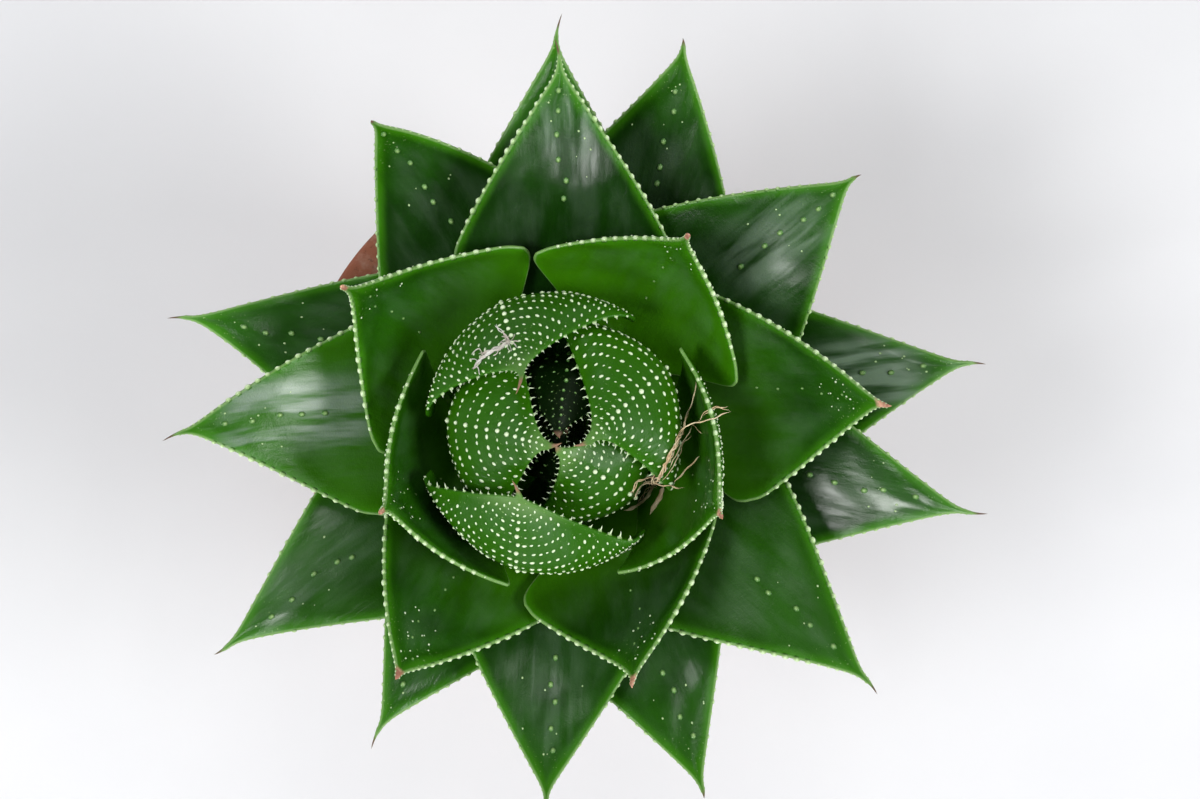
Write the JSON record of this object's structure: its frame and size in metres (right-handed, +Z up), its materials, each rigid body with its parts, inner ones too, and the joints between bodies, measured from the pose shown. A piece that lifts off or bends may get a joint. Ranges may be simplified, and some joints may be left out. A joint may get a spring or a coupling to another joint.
{
  "type": "potted lace aloe",
  "caption": "Lace aloe in a plain clay pot: a spiral rosette of fleshy toothed leaves with white warts, spreading over the rim and closing in a bud at the heart.",
  "frame": {"origin": "centre of the pot's foot, on the surface it stands on", "axes": "+Z up along the pot's axis; seen from above, +X is to the right and +Y is to the top of the picture"},
  "size_m": [0.1513, 0.1447, 0.139],
  "materials": {
    "clay": "matte",
    "soil": "matte",
    "stem": "matte",
    "leaf": "satin"
  },
  "bodies": {
    "root": {"pot": "clay", "soil": "soil", "stem": "stem", "leaf_01": "leaf", "leaf_02": "leaf", "leaf_03": "leaf", "leaf_04": "leaf", "leaf_05": "leaf", "leaf_06": "leaf", "leaf_07": "leaf", "leaf_08": "leaf", "leaf_09": "leaf", "leaf_10": "leaf", "leaf_11": "leaf", "leaf_12": "leaf", "leaf_13": "leaf", "leaf_14": "leaf", "leaf_15": "leaf", "leaf_16": "leaf", "leaf_17": "leaf", "leaf_18": "leaf", "leaf_19": "leaf", "leaf_20": "leaf", "leaf_21": "leaf", "leaf_22": "leaf", "leaf_23": "leaf", "leaf_24": "leaf", "leaf_25": "leaf", "leaf_26": "leaf", "leaf_27": "leaf", "leaf_28": "leaf"}
  },
  "joints": []
}
